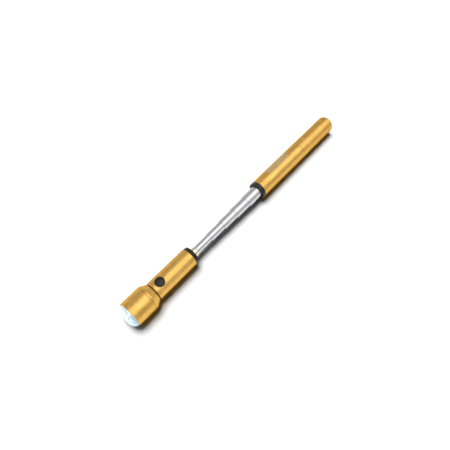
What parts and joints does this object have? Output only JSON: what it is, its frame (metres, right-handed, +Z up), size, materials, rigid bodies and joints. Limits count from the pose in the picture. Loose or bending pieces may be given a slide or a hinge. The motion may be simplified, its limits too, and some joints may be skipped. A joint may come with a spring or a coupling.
{
  "type": "telescoping magnetic pickup tool",
  "caption": "Gold telescoping magnetic pickup tool with a lighted head, a side push button, a chrome mast and a tail magnet.",
  "frame": {"origin": "centre of the flat tail face", "axes": "+X along the tool from the tail to the lens, +Z up through the push button"},
  "size_m": [0.2484, 0.02, 0.02],
  "materials": {
    "gold_anodised": "satin gold anodised",
    "pale_gold": "pale polished",
    "mast_chrome": "polished",
    "black_plastic": "satin black",
    "black_rubber": "matt rubber",
    "dark_moulding": "matt moulded",
    "clear_lens": "clear polished",
    "led_epoxy": "clear cast",
    "bright_reflector": "vacuum metallised",
    "magnet_nickel": "nickel plated",
    "spring_steel": "bright",
    "contact_brass": "plain",
    "cell_steel": "satin",
    "circuit_board": "solder mask"
  },
  "bodies": {
    "handle": {"tail_sleeve": "gold_anodised", "handle_tube": "gold_anodised", "mouth_bush": "black_plastic", "handle_joint_seal": "black_rubber", "tail_magnet": "magnet_nickel"},
    "mast_1": {"mast_tube_1": "mast_chrome", "friction_sleeve_1": "contact_brass"},
    "mast_2": {"mast_tube_2": "mast_chrome", "friction_sleeve_2": "contact_brass"},
    "mast_3": {"mast_tube_3": "mast_chrome", "friction_sleeve_3": "contact_brass"},
    "mast_4": {"mast_tube_4": "mast_chrome", "friction_sleeve_4": "contact_brass"},
    "mast_5": {"mast_tube_5": "mast_chrome", "friction_sleeve_5": "contact_brass", "swivel_stud": "spring_steel", "swivel_clip": "spring_steel"},
    "light": {"neck_collar": "pale_gold", "barrel_plug": "black_plastic", "rear_ring": "black_rubber", "barrel": "gold_anodised", "negative_plate": "contact_brass", "battery_spring": "spring_steel", "battery_1": "cell_steel", "battery_2": "cell_steel", "battery_3": "cell_steel", "battery_sleeve": "dark_moulding", "positive_plate": "contact_brass", "switch_housing": "dark_moulding", "push_switch": "dark_moulding", "switch_contact": "contact_brass", "button_ring": "black_plastic", "neck_oring": "black_rubber"},
    "button": {"button_cap": "black_rubber", "button_plunger": "dark_moulding"},
    "contact": {"contact_pin": "contact_brass"},
    "head": {"head_shell": "gold_anodised", "lens": "clear_lens", "lens_gasket": "black_rubber", "reflector": "bright_reflector", "led_1": "led_epoxy", "led_2": "led_epoxy", "led_3": "led_epoxy", "led_board": "circuit_board", "board_carrier": "dark_moulding", "pickup_magnet": "magnet_nickel", "magnet_cup": "magnet_nickel"}
  },
  "joints": [
    {"name": "mast_1_slide", "type": "slide", "parent": "handle", "child": "mast_1", "axis": [1, 0, 0], "range_m": [-0.0199, 0.0569]},
    {"name": "mast_2_slide", "type": "slide", "parent": "mast_1", "child": "mast_2", "axis": [1, 0, 0], "range_m": [-0.0143, 0.0636]},
    {"name": "mast_3_slide", "type": "slide", "parent": "mast_2", "child": "mast_3", "axis": [1, 0, 0], "range_m": [-0.0143, 0.0636]},
    {"name": "mast_4_slide", "type": "slide", "parent": "mast_3", "child": "mast_4", "axis": [1, 0, 0], "range_m": [-0.0143, 0.0636]},
    {"name": "mast_5_slide", "type": "slide", "parent": "mast_4", "child": "mast_5", "axis": [1, 0, 0], "range_m": [-0.0143, 0.0636]},
    {"name": "light_swivel", "type": "hinge", "parent": "mast_5", "child": "light", "pos_m": [0.179, 0, 0], "axis": [1, 0, 0], "continuous": true},
    {"name": "button_press", "type": "slide", "parent": "light", "child": "button", "axis": [0, 0, -1], "range_m": [0, 0.0008], "stiffness_N_per_m": 1500, "springref_m": -0.0004},
    {"name": "head_advance", "type": "slide", "parent": "light", "child": "contact", "axis": [1, 0, 0], "range_m": [0, 0.0051]},
    {"name": "head_turn", "type": "hinge", "parent": "contact", "child": "head", "pos_m": [0.224, 0, 0], "axis": [1, 0, 0], "range_deg": [0, 1800]}
  ],
  "couplings": [
    {"joint": "head_advance", "follows": "head_turn", "m_per_rad": 0.00015915}
  ]
}
